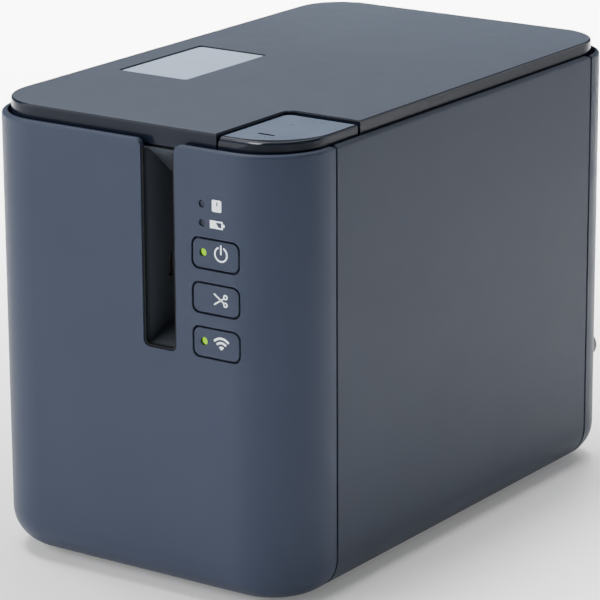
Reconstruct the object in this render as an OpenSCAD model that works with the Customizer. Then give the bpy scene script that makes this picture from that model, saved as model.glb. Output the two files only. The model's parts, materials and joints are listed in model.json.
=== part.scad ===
// Desktop label maker: a cassette-fed tape printer with a hinged top lid, a tall tape
// slot in its front cover and a quarter-round button that releases the lid.
// The origin is on the surface it stands on, under the middle of the body.
// +Z is up, -Y is the front and +X is the right-hand side.

/* [Body] */
// Width of the body
body_w = 118; // [117:0.5:120]
// Depth of the body
body_d = 192; // [191:0.5:194]
// Height to the top of the closed lid
total_h = 146; // [145.5:0.5:148]
// Plan radius of the two front corners
front_r = 21.5; // [20:0.5:22]
// Plan radius of the two rear corners
rear_r = 17.5; // [16.5:0.5:18]
// Radius where the sides turn under to the bottom
fillet_r = 12; // [10:0.5:12]
// Wall thickness of the outer covers
wall = 1.9; // [1.7:0.1:2]
// Height of the base above the surface
floor_z = 1.2; // [1:0.1:1.4]
// Height of the covers' rim below the lid's top
rim_drop = 4.2; // [3.7:0.1:4.3]
// Distance of the front seam behind the front face
front_seam = 24.75; // [24:0.25:26]
// Distance of the rear seam before the rear face
rear_seam = 18.35; // [18:0.25:19]
// Width of the seams between the covers
seam_gap = 0.9; // [0.6:0.1:1]

/* [Front panel] */
// Middle of the tape slot, right of the centre line
slot_x = 11.6; // [11.2:0.1:12]
// Width of the tape slot
slot_w = 12.4; // [12:0.1:12.8]
// Height of the slot's lower end
slot_z = 77.9; // [77.4:0.1:78.2]
// Middle of the buttons, right of the centre line
button_x = 32.5; // [32.25:0.05:32.75]
// Height of the middle button
button_z = 96.5; // [96:0.1:97]
// Distance between the buttons
button_pitch = 13.7; // [13.5:0.1:14]
// Width of a button opening
button_w = 17.5; // [17:0.1:18]
// Height of a button opening
button_h = 10; // [9.6:0.1:10.4]
// Gap around a button
button_gap = 0.65; // [0.4:0.05:0.7]
// Travel of a front button
button_travel = 0.6; // [0.4:0.1:0.6]

/* [Lid] */
// Gap between the body's front face and the lid
lid_front = 3.6; // [3.4:0.1:3.8]
// Gap between the body's sides and the lid
lid_side = 2.4; // [2.3:0.05:2.6]
// Gap between the body's rear face and the lid
lid_back = 2.4; // [2.4:0.1:3]
// Height of the lid's side
lid_h = 6.2; // [6:0.1:6.4]
// Width of the lid window
window_w = 27; // [26:0.1:27.3]
// Length of the lid window
window_d = 44.3; // [42:0.1:44.5]
// Left edge of the notch for the release button
notch_x = 30.8; // [30.5:0.1:31]
// Back edge of the notch for the release button
notch_y = -55.2; // [-55.5:0.1:-55]
// Travel of the release button
release_travel = 1.8; // [1.5:0.1:1.8]

/* [Cassette and drive] */
// Width of the tape cassette
cassette_w = 78; // [76:1:78]
// Length of the tape cassette
cassette_d = 94; // [90:1:94]
// Height of the tape cassette
cassette_h = 46; // [44:1:46]
// Radius of the platen roller
platen_r = 6; // [5.8:0.1:6.1]
// Module of the feed gears
gear_module = 1; // [1:0.1:1]
// Teeth of the idler gear
idler_teeth = 40; // [40:1:40]
// Teeth of the platen gear
platen_teeth = 20; // [20:1:20]
// Teeth of the ribbon take-up gear
takeup_teeth = 26; // [26:1:26]
// Teeth of the feed motor's pinion
pinion_teeth = 14; // [14:1:14]
// Swing of the cutter blade from open to closed
cutter_swing = 14; // [12:1:14]

/* [Hidden] */
$fn = 64;

// Body planes
front_y = -body_d / 2;
rear_y = body_d / 2;
side_x = body_w / 2;
rim_z = total_h - rim_drop;
rim_round = 1.1;
seam_round = 1.3;
front_seam_y = front_y + front_seam;
rear_seam_y = rear_y - rear_seam;
base_half_w = 44;

// Inner frame and deck
frame_inset = 2;
frame_wall = 1.8;
frame_top = 136;
frame_front_y = -80;
frame_rear_y = 84;
frame_cut_y = 74.5;
frame_cut_z = 131;
deck_h = 2;
deck_top = frame_top + deck_h;
deck_rear_y = 76;

// Cassette compartment
tub_wall = 1.8;
tub_floor_z = 83;
tub_floor_h = 2;
tub_x0 = -51.5;
tub_x1 = 36;
tub_y0 = -74;
tub_y1 = 46;
tape_z0 = 84;
tape_z1 = 129;

// Lid
lid_r_front = 18.8;
lid_r_rear = 16.5;
lid_z = total_h - lid_h;
lid_plate = 2;
lid_skin = 0.9;
lid_skin_edge = 0.45;
lid_skirt = 1.7;
lid_round = 0.7;
lid_half_w = side_x - lid_side;
lid_y0 = front_y + lid_front;
lid_y1 = rear_y - lid_back;
notch_r = 3.2;
notch_chamfer = 0.4;
window_x0 = -46.65;
window_y0 = -39.2;
window_r = 1.4;
window_drop = 0.5;
liner_z = 141.8;
liner_h = 2.1;

// Lid hinge
hinge_y = 86;
hinge_z = 142.9;
hinge_pin_r = 1;
hinge_knuckle_r = 1.9;
hinge_x = 40;
hinge_knuckle_w = 8;
hinge_ear_w = 3.2;
hinge_ear_gap = 0.4;

// Release button
release_gap = 0.6;
release_back_gap = 1.3;
release_top = 145.1;
release_shoulder = 2.6;
release_pad_top = 145.1;
release_rest_gap = 0.4;
release_bottom = deck_top + release_travel + release_rest_gap;
release_x = 46;
release_y = -75;
release_stem_r = 2;
release_stem_z = 119.7;
release_cup_r = 6;
release_cup_z = 127.5;
spring_r = 4.3;
spring_wire = 0.7;

// Latch
latch_y = -62;
latch_z = 118;
latch_pin_r = 1.2;
latch_hub_r = 3;
latch_w = 7;
catch_w = 5;

// Drive train
gear_face = 5;
gear_z = 75.2;
gear_pressure = 25;
gear_backlash = 0.22;
gear_shoulder_r = 3.4;
platen_x = slot_x + 0.25 + platen_r;
platen_y = -62;
idler_dir = 135;
takeup_dir = 60;
pinion_dir = 170;
idler_dist = gear_module * (idler_teeth + platen_teeth) / 2;
takeup_dist = gear_module * (idler_teeth + takeup_teeth) / 2;
pinion_dist = gear_module * (idler_teeth + pinion_teeth) / 2;
idler_x = platen_x + idler_dist * cos(idler_dir);
idler_y = platen_y + idler_dist * sin(idler_dir);
takeup_x = idler_x + takeup_dist * cos(takeup_dir);
takeup_y = idler_y + takeup_dist * sin(takeup_dir);
pinion_x = idler_x + pinion_dist * cos(pinion_dir);
pinion_y = idler_y + pinion_dist * sin(pinion_dir);
// The roller holder turns about a point on the tangent of the platen gear's mesh,
// so that gear leaves the idler straight
holder_reach = 30;
platen_pitch_r = gear_module * platen_teeth / 2;
holder_x = platen_x + platen_pitch_r * cos(idler_dir) + holder_reach * cos(idler_dir - 90);
holder_y = platen_y + platen_pitch_r * sin(idler_dir) + holder_reach * sin(idler_dir - 90);
holder_pin_r = 1.5;
spacer_x = [-48, 34.5];
spacer_y = [-71, 43];
plate_z = 72;
plate_h = 1.5;

// Tape cassette
cassette_x0 = -50;
cassette_y0 = -50;
cassette_step_y = -28;
cassette_step_x = 14;
cassette_z = tub_floor_z + tub_floor_h + 0.2;
cassette_wall = 1.8;
cassette_cover_h = 2;
tape_roll_x = -26;
tape_roll_y = 10;
tape_roll_r = 20;
tape_w = 36;

// Cutter
blade_h = 1;
blade_y = -79.1;
cutter_x = 14;
cutter_z = 79;
cutter_module = 0.8;
sector_teeth = 50;
sector_half = 3.5 * 360 / sector_teeth;
cutter_pinion_teeth = 14;
cutter_pinion_dist = cutter_module * (sector_teeth + cutter_pinion_teeth) / 2;
cutter_pinion_z = cutter_z - cutter_pinion_dist;
cutter_plate_y = -76.4;
cutter_plate_h = 1.5;

// Boards and sockets
board_z = 14;
board_h = 1.6;
board_half_w = 46;
board_y0 = -20;
board_y1 = 90;
board_screw_x = 40;
board_screw_y = [-14, 70];
panel_y = -85;
panel_h = 1.6;
panel_posts = [[27, 72.5], [46, 129]];
light_z = [119.5, 125.3];
light_x = 27.9;
light_r = 1.15;
lens_x = 27.95;
lens_r = 1.25;
lens_rise = 0.3;
lens_drop = 1.1;
usb_x = 24;
serial_x = -3;
inlet_x = 48.3;
inlet_z = 36.9;
inlet_r = 4.5;
inlet_bore_r = 3.3;
inlet_bore_h = 12;
base_screw_x = 37;
base_screw_y = [-44, 54];
foot_x = 36;
foot_y = [-63, 69];
foot_r = 7;
battery_y = 20;
battery_w = 34;
battery_d = 14;

// ---------- Shared shapes ----------

// Square corner less the quarter circle inside it
module corner_cut(r) {
    difference() {
        square(r + 1);
        circle(r);
    }
}

// Rectangle from x = 0 to w and from z0 to z1, its outer corners rounded by f and t
module edge_profile(w, z0, z1, f, t) {
    difference() {
        translate([0, z0]) square([w, z1 - z0]);
        if (f > 0) translate([w - f, z0 + f]) mirror([0, 1]) corner_cut(f);
        if (t > 0) translate([w - t, z1 - t]) corner_cut(t);
    }
}

// The same rectangle on both sides of the centre line
module full_profile(w, z0, z1, f, t) {
    difference() {
        translate([-w, z0]) square([2 * w, z1 - z0]);
        for (side = [0, 1]) mirror([side, 0]) {
            if (f > 0) translate([w - f, z0 + f]) mirror([0, 1]) corner_cut(f);
            if (t > 0) translate([w - t, z1 - t]) corner_cut(t);
        }
    }
}

// Block with front corner radius rf, rear corner radius rr, its bottom edge
// rounded by f and its top edge by t
module rounded_block(hw, y0, y1, rf, rr, z0, z1, f, t) {
    translate([0, y1 - rr, 0]) rotate([90, 0, 0])
        linear_extrude(y1 - rr - y0 - rf) full_profile(hw, z0, z1, f, t);
    translate([hw - rf, y0 + rf, 0]) rotate([90, 0, -90])
        linear_extrude(2 * (hw - rf)) edge_profile(rf, z0, z1, f, t);
    translate([rr - hw, y1 - rr, 0]) rotate([90, 0, 90])
        linear_extrude(2 * (hw - rr)) edge_profile(rr, z0, z1, f, t);
    for (side = [0, 1]) mirror([side, 0, 0]) {
        translate([hw - rf, y0 + rf, 0]) rotate([0, 0, -90])
            rotate_extrude(angle = 90) edge_profile(rf, z0, z1, f, t);
        translate([hw - rr, y1 - rr, 0])
            rotate_extrude(angle = 90) edge_profile(rr, z0, z1, f, t);
    }
}

// The body's outer shape, shrunk by inset
module body_block(inset, top, t = 0) {
    rounded_block(side_x - inset, front_y + inset, rear_y - inset,
        front_r - inset, rear_r - inset, floor_z + inset, top, fillet_r - inset, t);
}

// Hollow outer skin that the covers are cut from
module body_shell() {
    difference() {
        body_block(0, rim_z, rim_round);
        body_block(wall, rim_z + 1);
    }
}

// Block across the body from y0 to y1, its top corners rounded by r0 and r1
module cross_block(y0, y1, z1, r0, r1) {
    translate([-side_x - 1, 0, 0]) rotate([90, 0, 90]) linear_extrude(body_w + 2)
        difference() {
            translate([y0, -1]) square([y1 - y0, z1 + 1]);
            if (r0 > 0) translate([y0 + r0, z1 - r0]) mirror([1, 0]) corner_cut(r0);
            if (r1 > 0) translate([y1 - r1, z1 - r1]) corner_cut(r1);
        }
}

// Rectangle centred on the origin with rounded corners
module rounded_rect(w, h, r) {
    difference() {
        square([w, h], center = true);
        for (side = [0, 1], end = [0, 1])
            mirror([side, 0]) mirror([0, end]) translate([w / 2 - r, h / 2 - r]) corner_cut(r);
    }
}

// Plan outline of the body, shrunk by inset
module plan_outline(inset) {
    hw = side_x - inset;
    rf = front_r - inset;
    rr = rear_r - inset;
    difference() {
        translate([-hw, front_y + inset]) square([2 * hw, body_d - 2 * inset]);
        for (side = [0, 1]) mirror([side, 0]) {
            translate([hw - rf, front_y + inset + rf]) mirror([0, 1]) corner_cut(rf);
            translate([hw - rr, rear_y - inset - rr]) corner_cut(rr);
        }
    }
}

// Extrusion of a front-view shape backwards from y by depth
module front_cut(y, depth) {
    translate([0, y + depth, 0]) rotate([90, 0, 0]) linear_extrude(depth) children();
}

// Extrusion of a side-view shape from x to the right
module side_cut(x, w) {
    translate([x, 0, 0]) rotate([90, 0, 90]) linear_extrude(w) children();
}

// Round bar along X
module bar_x(r, x0, x1, y, z) {
    translate([x0, y, z]) rotate([0, 90, 0]) cylinder(r = r, h = x1 - x0);
}

// Round bar along Y
module bar_y(r, x, y0, y1, z) {
    translate([x, y0, z]) rotate([-90, 0, 0]) cylinder(r = r, h = y1 - y0);
}

// Upright round bar
module bar_z(r, x, y, z0, z1) {
    translate([x, y, z0]) cylinder(r = r, h = z1 - z0);
}

// Box from one corner to the opposite one
module box(low, high) {
    translate(low) cube(high - low);
}

// Involute of a gear flank, in degrees, at the angle whose cosine is base / radius
function flank_turn(a) = tan(a) * 180 / PI - a;

// Half the angle that a tooth takes at radius r
function tooth_half(n, m, r) =
    90 / n - gear_backlash * 90 / (PI * n * m / 2) + flank_turn(gear_pressure)
    - flank_turn(acos(min(1, m * n / 2 * cos(gear_pressure) / r)));

// Point at a radius and an angle
function polar(r, a) = [r * cos(a), r * sin(a)];

// Outline of a gear of n teeth, the first of them centred on the angle phase
function gear_outline(n, m, phase) =
    let (base = m * n / 2 * cos(gear_pressure), root = m * (n / 2 - 1.2), tip = m * (n / 2 + 0.85))
    let (low = max(base, root), flank = [for (i = [0:3]) low + (tip - low) * i / 3])
    [for (k = [0:n - 1]) let (mid = phase + k * 360 / n) each concat(
        [polar(root, mid - tooth_half(n, m, low))],
        [for (i = [0:3]) polar(flank[i] + 0.001, mid - tooth_half(n, m, flank[i]))],
        [for (i = [3:-1:0]) polar(flank[i] + 0.001, mid + tooth_half(n, m, flank[i]))],
        [polar(root, mid + tooth_half(n, m, low))])];

// Tooth angle of a gear that meshes with a driver whose first tooth is at phase
function mesh_phase(phase, n, n_next, dir) =
    dir + 180 + (dir - phase) * n / n_next + 180 / n_next;

// ---------- Outer covers ----------

// Outline of the tape slot, open at the rim
module slot_outline() {
    half = slot_w / 2;
    rim_r = 2.3;
    straight_slot(0, rim_z + 1);
    translate([slot_x, 0]) for (side = [0, 1]) mirror([side, 0])
        translate([half + rim_r, rim_z - rim_r]) mirror([1, 0]) corner_cut(rim_r);
}

// Outline of the slot without its flare, shrunk by inset and cut off at top_z
module straight_slot(inset, top_z) {
    half = slot_w / 2 - inset;
    low_r = 2.4 - inset;
    translate([slot_x, slot_z + inset]) difference() {
        translate([-half, 0]) square([2 * half, top_z - slot_z - inset]);
        for (side = [0, 1]) mirror([side, 0])
            translate([half - low_r, low_r]) mirror([0, 1]) corner_cut(low_r);
    }
}

module front_cover() {
    post_r = 2.5;
    color([0.33, 0.36, 0.42]) difference() {
        union() {
            intersection() {
                body_shell();
                cross_block(front_y - 1, front_seam_y - seam_gap / 2, rim_z, 0, seam_round);
            }
            intersection() {
                linear_extrude(total_h) plan_outline(wall / 2);
                for (p = panel_posts)
                    bar_y(post_r, p[0], front_y, panel_y - panel_h, p[1]);
            }
        }
        front_cut(front_y - 1, wall + 2) slot_outline();
        for (i = [-1:1])
            front_cut(front_y - 1, wall + 3)
                translate([button_x, button_z + i * button_pitch])
                    rounded_rect(button_w, button_h, 2.6);
        for (z = light_z) bar_y(light_r, light_x, front_y - 1, front_y + wall + 1, z);
    }
}

// Side skin on the right, wrapped under to the base cover
module side_skin() {
    difference() {
        intersection() {
            body_shell();
            cross_block(front_seam_y + seam_gap / 2, rear_seam_y - seam_gap / 2, rim_z,
                seam_round, seam_round);
        }
        box([-side_x - 1, front_y, -1], [base_half_w + seam_gap / 2, rear_y, rim_z + 1]);
    }
}

module right_side_panel() {
    color([0.31, 0.34, 0.39]) side_skin();
}

module left_side_panel() {
    color([0.31, 0.34, 0.39]) mirror([1, 0, 0]) side_skin();
}

module rear_cover() {
    rebate_z = 134;
    rebate_wall = 1.3;
    recess_d = 0.7;
    color([0.31, 0.34, 0.39]) difference() {
        intersection() {
            body_shell();
            cross_block(rear_seam_y + seam_gap / 2, rear_y + 1, rim_z, seam_round, 0);
        }
        // The lid's rear edge swings down inside a thinner rim
        translate([0, 0, rebate_z]) linear_extrude(rim_z) plan_outline(rebate_wall);
        // Shallow recess around the sockets
        front_cut(rear_y - recess_d, recess_d + 1)
            translate([(usb_x + serial_x) / 2, board_z + 8]) rounded_rect(52, 22, 3);
        front_cut(rear_y - 3, 4)
            translate([usb_x, board_z + board_h + 5.5]) rounded_rect(13, 12, 0.8);
        front_cut(rear_y - 3, 4)
            translate([serial_x, board_z + board_h + 6]) rounded_rect(14.4, 13, 0.8);
        bar_y(inlet_r + 0.05, inlet_x, rear_y - 16, rear_y + 1, inlet_z);
    }
}

module base_cover() {
    color([0.12, 0.12, 0.13]) difference() {
        intersection() {
            body_shell();
            cross_block(front_seam_y + seam_gap / 2, rear_seam_y - seam_gap / 2,
                floor_z + wall + 1, 0, 0);
            box([seam_gap / 2 - base_half_w, front_y, 0],
                [base_half_w - seam_gap / 2, rear_y, 9]);
        }
        for (x = [-1, 1], y = base_screw_y) {
            bar_z(1.6, x * base_screw_x, y, 0, 9);
            bar_z(3.1, x * base_screw_x, y, 0, floor_z + 1);
        }
        for (x = [-1, 1], y = foot_y) bar_z(foot_r + 0.05, x * foot_x, y, 0, floor_z + 0.8);
        translate([0, battery_y, 0]) linear_extrude(9) rounded_rect(battery_w, battery_d, 2);
    }
}

module battery_contact_cover() {
    play = 0.25;
    grip_w = 10;
    color([0.14, 0.14, 0.15]) difference() {
        translate([0, battery_y, floor_z]) linear_extrude(wall)
            rounded_rect(battery_w - 2 * play, battery_d - 2 * play, 1.8);
        for (i = [-1:1])
            translate([-grip_w / 2, battery_y + i * 2.4 - 0.5, floor_z - 1])
                cube([grip_w, 1, 1.5]);
    }
}

module rubber_feet() {
    color([0.07, 0.07, 0.07]) for (x = [-1, 1], y = foot_y)
        bar_z(foot_r, x * foot_x, y, 0, floor_z + 0.8);
}

module housing_screws() {
    color("silver") for (x = [-1, 1], y = base_screw_y) difference() {
        union() {
            bar_z(2.8, x * base_screw_x, y, floor_z + 0.1, floor_z + 1);
            bar_z(1.45, x * base_screw_x, y, floor_z + 1, 11);
        }
        translate([x * base_screw_x, y, floor_z]) {
            cube([3, 0.7, 1.2], center = true);
            cube([0.7, 3, 1.2], center = true);
        }
    }
}

// ---------- Inner structure ----------

module inner_frame() {
    ledge_y = [-50, 30];
    floor_top = floor_z + frame_inset + frame_wall;
    color([0.1, 0.1, 0.11]) difference() {
        union() {
            intersection() {
                difference() {
                    body_block(frame_inset, frame_top);
                    body_block(frame_inset + frame_wall, frame_top + 1);
                }
                box([-side_x, frame_front_y, 0], [side_x, frame_rear_y, frame_top + 1]);
            }
            for (x = [-1, 1], y = base_screw_y)
                bar_z(3.4, x * base_screw_x, y, floor_top - 0.5, 11);
            for (x = [-1, 1], y = board_screw_y)
                bar_z(3, x * board_screw_x, y, floor_top - 0.5, board_z);
            // Ledges under the mechanism plate
            for (side = [0, 1], y = ledge_y) mirror([side, 0, 0])
                side_cut(side_x - 9, 6) polygon([[y - 6, plate_z - 8], [y - 6, plate_z],
                    [y + 6, plate_z], [y + 6, plate_z - 8]]);
        }
        for (x = [-1, 1], y = base_screw_y) bar_z(1.5, x * base_screw_x, y, 0, 12);
        for (x = [-1, 1], y = board_screw_y) bar_z(1.15, x * board_screw_x, y, 8, board_z + 1);
        box([-side_x, frame_cut_y, frame_cut_z], [side_x, rear_y, frame_top + 1]);
    }
}

module top_deck() {
    ear_w = 1.8;
    ear_x = latch_w / 2 + 0.5;
    cup_wall = 1.2;
    color([0.1, 0.1, 0.11]) difference() {
        union() {
            intersection() {
                translate([0, 0, frame_top]) linear_extrude(deck_h) plan_outline(frame_inset);
                box([-side_x, front_y, 0], [side_x, deck_rear_y, total_h]);
            }
            bar_z(release_cup_r, release_x, release_y, release_cup_z, deck_top);
            for (side = [-1, 1])
                translate([release_x + side * (ear_x + ear_w / 2) - ear_w / 2, latch_y - 3.5,
                    latch_z - 3])
                    cube([ear_w, 7, frame_top - latch_z + 3.5]);
        }
        // Compartment
        box([tub_x0 - tub_wall, tub_y0 - tub_wall, frame_top - 1],
            [tub_x1 + tub_wall, tub_y1 + tub_wall, deck_top + 1]);
        // Exit chute
        box([slot_x - slot_w / 2 - 2, front_y, frame_top - 1],
            [slot_x + slot_w / 2 + 2, tub_y0, deck_top + 1]);
        // Spring cup and the hole for the button's stem
        bar_z(release_cup_r - cup_wall, release_x, release_y, release_cup_z + cup_wall,
            deck_top + 1);
        bar_z(release_stem_r + 0.1, release_x, release_y, release_cup_z - 1, deck_top);
        // Slot for the lid catch and the latch
        box([release_x - 4, -60.6, frame_top - 1], [release_x + 4, -50.4, deck_top + 1]);
        bar_x(latch_pin_r, release_x - 9, release_x + 9, latch_y, latch_z);
    }
}

module cassette_tub() {
    floor_top = tub_floor_z + tub_floor_h;
    low = [tub_x0 - tub_wall, tub_y0 - tub_wall, tub_floor_z];
    high = [tub_x1 + tub_wall, tub_y1 + tub_wall, deck_top];
    color([0.13, 0.13, 0.14]) difference() {
        union() {
            difference() {
                box(low, high);
                box([tub_x0, tub_y0, floor_top], [tub_x1, tub_y1, deck_top + 1]);
            }
            // Ribs that centre the cassette
            for (y = [-30, 30]) box([tub_x0, y - 1, floor_top], [tub_x0 + 1, y + 1, 126]);
            for (x = [-30, 10]) box([x - 1, tub_y1 - 1.5, floor_top], [x + 1, tub_y1, 126]);
        }
        // Tape window towards the cutter
        box([slot_x - 5, tub_y0 - tub_wall - 1, tape_z0 + 1.5], [slot_x + 12, tub_y0 + 1, tape_z1 + 4]);
        // Room for the platen shaft as its holder swings
        translate([0, 0, tub_floor_z - 1]) linear_extrude(tub_floor_h + 2)
            translate([platen_x + 1, platen_y - 1]) rounded_rect(9, 9, 2);
        bar_z(4.5, takeup_x, takeup_y, tub_floor_z - 1, floor_top + 1);
        bar_z(holder_pin_r, holder_x, holder_y, tub_floor_z - 1, floor_top + 1);
    }
}

module exit_chute() {
    outer = slot_w / 2 + 1.8;
    lining = 0.6;
    lining_gap = 0.15;
    inner = slot_w / 2 - lining_gap - lining;
    lining_y = front_y + 0.35;
    box_y = front_y + wall + 0.1;
    back_y = -80.5;
    top_z = lid_z - 0.8;
    floor_front_z = slot_z + lining_gap + lining;
    color([0.09, 0.09, 0.1]) difference() {
        union() {
            box([slot_x - outer, box_y, 74], [slot_x + outer, back_y, top_z]);
            // Lining that comes forward through the slot in the front cover
            front_cut(lining_y, box_y + 1 - lining_y) straight_slot(lining_gap, top_z);
        }
        front_cut(front_y, box_y - front_y) straight_slot(lining_gap + lining, top_z + 1);
        side_cut(slot_x - inner, 2 * inner)
            polygon([[box_y, floor_front_z], [back_y + 1, floor_front_z + 4.4], [back_y + 1, tape_z1],
                [back_y - 1, tape_z1], [box_y - 0.2, lid_z], [box_y - 0.2, floor_front_z + 2.5]]);
        // Window of the tape sensor
        box([slot_x - outer - 1, back_y - 3.4, 96.8], [slot_x, back_y - 0.8, 103.8]);
    }
}

module hinge_brackets() {
    foot_y0 = 62;
    color([0.1, 0.1, 0.11]) for (side = [-1, 1]) difference() {
        x0 = side * hinge_x - hinge_knuckle_w / 2;
        union() {
            bar_x(hinge_knuckle_r, x0, x0 + hinge_knuckle_w, hinge_y, hinge_z);
            side_cut(x0, hinge_knuckle_w)
                polygon([[foot_y0, deck_top], [deck_rear_y, deck_top],
                    [hinge_y + 1, hinge_z - hinge_knuckle_r + 0.3], [hinge_y, hinge_z + 1.8],
                    [deck_rear_y + 2, deck_top + 2], [foot_y0, deck_top + 1.6]]);
        }
        bar_x(hinge_pin_r + 0.05, x0 - 1, x0 + hinge_knuckle_w + 1, hinge_y, hinge_z);
    }
}

module head_bracket() {
    floor_top = tub_floor_z + tub_floor_h;
    plate_x = 8.2;
    color([0.72, 0.73, 0.75]) {
        box([plate_x, -69, floor_top], [plate_x + 2.2, -54, 129]);
        box([plate_x - 7, -69, floor_top], [plate_x, -54, floor_top + 1.6]);
        for (i = [0:3])
            box([plate_x - 3.4, -68 + i * 4, floor_top + 4], [plate_x, -67 + i * 4, 126]);
    }
}

module print_head() {
    color([0.92, 0.9, 0.84]) difference() {
        box([10.4, -66.5, 88], [11.4, -57.5, 127]);
        box([11.3, -62.6, 89], [11.5, -61.4, 126]);
    }
}

module mechanism_plate() {
    plate_half_w = side_x - frame_inset - frame_wall - 0.1;
    color([0.66, 0.67, 0.69]) difference() {
        box([-plate_half_w, cutter_plate_y, plate_z], [plate_half_w, 46, plate_z + plate_h]);
        bar_z(5, pinion_x, pinion_y, plate_z - 1, plate_z + 3);
        for (p = [[-38, 14], [-10, 24], [20, 18]])
            bar_z(7, p[0], p[1], plate_z - 1, plate_z + 3);
    }
}

// Spacers, the posts that the gears turn on and the roller holder's pivot
module fixed_shafts() {
    plate_top = plate_z + plate_h;
    color("silver") {
        for (x = spacer_x, y = spacer_y) bar_z(2.5, x, y, plate_top, tub_floor_z);
        for (p = [[idler_x, idler_y], [takeup_x, takeup_y]]) {
            bar_z(gear_shoulder_r, p[0], p[1], plate_top, gear_z - 0.1);
            bar_z(2, p[0], p[1], plate_top, gear_z + gear_face + 1.4);
        }
        bar_z(holder_pin_r, holder_x, holder_y, tub_floor_z, 134);
    }
}

module feed_motor() {
    can_h = 20;
    color([0.6, 0.61, 0.63]) difference() {
        union() {
            bar_z(17, pinion_x, pinion_y, plate_z - can_h, plate_z - 1);
            translate([pinion_x, pinion_y, plate_z - 1]) linear_extrude(1)
                rounded_rect(42, 22, 4);
            bar_z(4.6, pinion_x, pinion_y, plate_z - 1, plate_z + 1);
            translate([pinion_x, pinion_y - 17, plate_z - 12]) cube([14, 5, 12], center = true);
        }
        bar_z(1.55, pinion_x, pinion_y, plate_z - 8, plate_z + 2);
    }
}

// ---------- Cutter ----------

module cutter_frame() {
    pivot_r = 2;
    color([0.66, 0.67, 0.69]) {
        difference() {
            box([-8, cutter_plate_y - cutter_plate_h, 44], [38, cutter_plate_y, 134]);
            box([slot_x - 3, cutter_plate_y - 5, tape_z0 + 2], [slot_x + 5, cutter_plate_y + 1, tape_z1 + 2]);
            bar_y(4, cutter_x, cutter_plate_y - 5, cutter_plate_y + 1, cutter_pinion_z);
        }
        bar_y(pivot_r, cutter_x, blade_y - 0.4, cutter_plate_y - cutter_plate_h, cutter_z);
        box([0, blade_y - 0.1, 133.2], [9, cutter_plate_y - cutter_plate_h, 134]);
        box([0, blade_y - 0.1, 80], [2, cutter_plate_y - cutter_plate_h, 133.2]);
    }
}

module fixed_blade() {
    y1 = blade_y - 0.1;
    color([0.8, 0.81, 0.82]) box([0, y1 - blade_h, 80], [slot_x - 0.3, y1, 134]);
}

module cutter_motor() {
    motor_r = 10;
    motor_l = 26;
    color([0.6, 0.61, 0.63]) difference() {
        intersection() {
            bar_y(motor_r, cutter_x, cutter_plate_y, cutter_plate_y + motor_l, cutter_pinion_z);
            box([cutter_x - motor_r, cutter_plate_y - 1, cutter_pinion_z - 7.5],
                [cutter_x + motor_r, 0, cutter_pinion_z + 7.5]);
        }
        bar_y(1.05, cutter_x, cutter_plate_y - 1, cutter_plate_y + 8, cutter_pinion_z);
    }
}

// The blade when closed; it stands tilted to the right when open
module moving_blade() {
    edge_x = slot_x - 0.6 - cutter_x;
    color([0.82, 0.83, 0.84]) difference() {
        translate([cutter_x, blade_y + blade_h, cutter_z]) rotate([0, cutter_swing, 0])
            rotate([90, 0, 0]) {
                cylinder(r = 5, h = blade_h);
                linear_extrude(blade_h)
                    polygon([[edge_x, 4], [edge_x, 52], [edge_x + 5, 54], [4.5, 2], [0, 0]]);
                linear_extrude(blade_h) intersection() {
                    polygon(gear_outline(sector_teeth, cutter_module, -90));
                    polygon([[0, 0], polar(30, -90 - sector_half), polar(30, -90),
                        polar(30, -90 + sector_half)]);
                }
            }
        bar_y(2.05, cutter_x, blade_y - 1, blade_y + 3, cutter_z);
    }
}

module cutter_pinion() {
    y1 = blade_y + blade_h;
    face = 1.8;
    // Teeth as seen from the front, with the sector straight above
    phase = mesh_phase(-90 - cutter_swing, sector_teeth, cutter_pinion_teeth, -90);
    color([0.93, 0.92, 0.88]) translate([cutter_x, 0, cutter_pinion_z]) {
        translate([0, y1, 0]) rotate([90, 0, 0]) linear_extrude(face)
            polygon(gear_outline(cutter_pinion_teeth, cutter_module, phase));
        bar_y(1, 0, y1 - 1, cutter_plate_y + 7, 0);
    }
}

// ---------- Boards, lights and sockets ----------

module main_board() {
    color([0.08, 0.3, 0.16]) difference() {
        box([-board_half_w, board_y0, board_z], [board_half_w, board_y1, board_z + board_h]);
        for (x = [-1, 1], y = board_screw_y)
            bar_z(1.4, x * board_screw_x, y, board_z - 1, board_z + 3);
    }
}

module board_screws() {
    top = board_z + board_h;
    color("silver") for (x = [-1, 1], y = board_screw_y) {
        bar_z(2.4, x * board_screw_x, y, top, top + 1.3);
        bar_z(1.1, x * board_screw_x, y, 9, top);
    }
}

module board_components() {
    top = board_z + board_h;
    chips = [[0, 20, 14, 14, 1.4], [-24, 26, 10, 6, 1.2], [-20, 50, 18, 24, 2.6],
        [22, 24, 8, 8, 1.2], [-28, -6, 8, 12, 9], [4, 58, 10, 5, 1.4]];
    color([0.08, 0.08, 0.09]) {
        for (c = chips)
            translate([c[0] - c[2] / 2, c[1] - c[3] / 2, top]) cube([c[2], c[3], c[4]]);
        for (i = [0:2]) bar_z(4, 34, 14 + i * 11, top, top + 12);
        for (i = [0:3]) bar_z(2.5, -2 + i * 7, -8, top, top + 6);
    }
}

module panel_board() {
    y0 = panel_y - panel_h;
    color([0.08, 0.3, 0.16]) difference() {
        box([21, y0, 68], [50, panel_y, 132]);
        for (p = panel_posts) bar_y(1.2, p[0], y0 - 1, panel_y + 1, p[1]);
    }
}

module button_switches() {
    y1 = panel_y - panel_h;
    color([0.15, 0.15, 0.16]) for (i = [-1:1]) {
        z = button_z + i * button_pitch;
        box([button_x - 3, y1 - 3.5, z - 3], [button_x + 3, y1, z + 3]);
        bar_y(1.7, button_x, y1 - 3.9, y1 - 3.5, z);
    }
}

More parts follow.
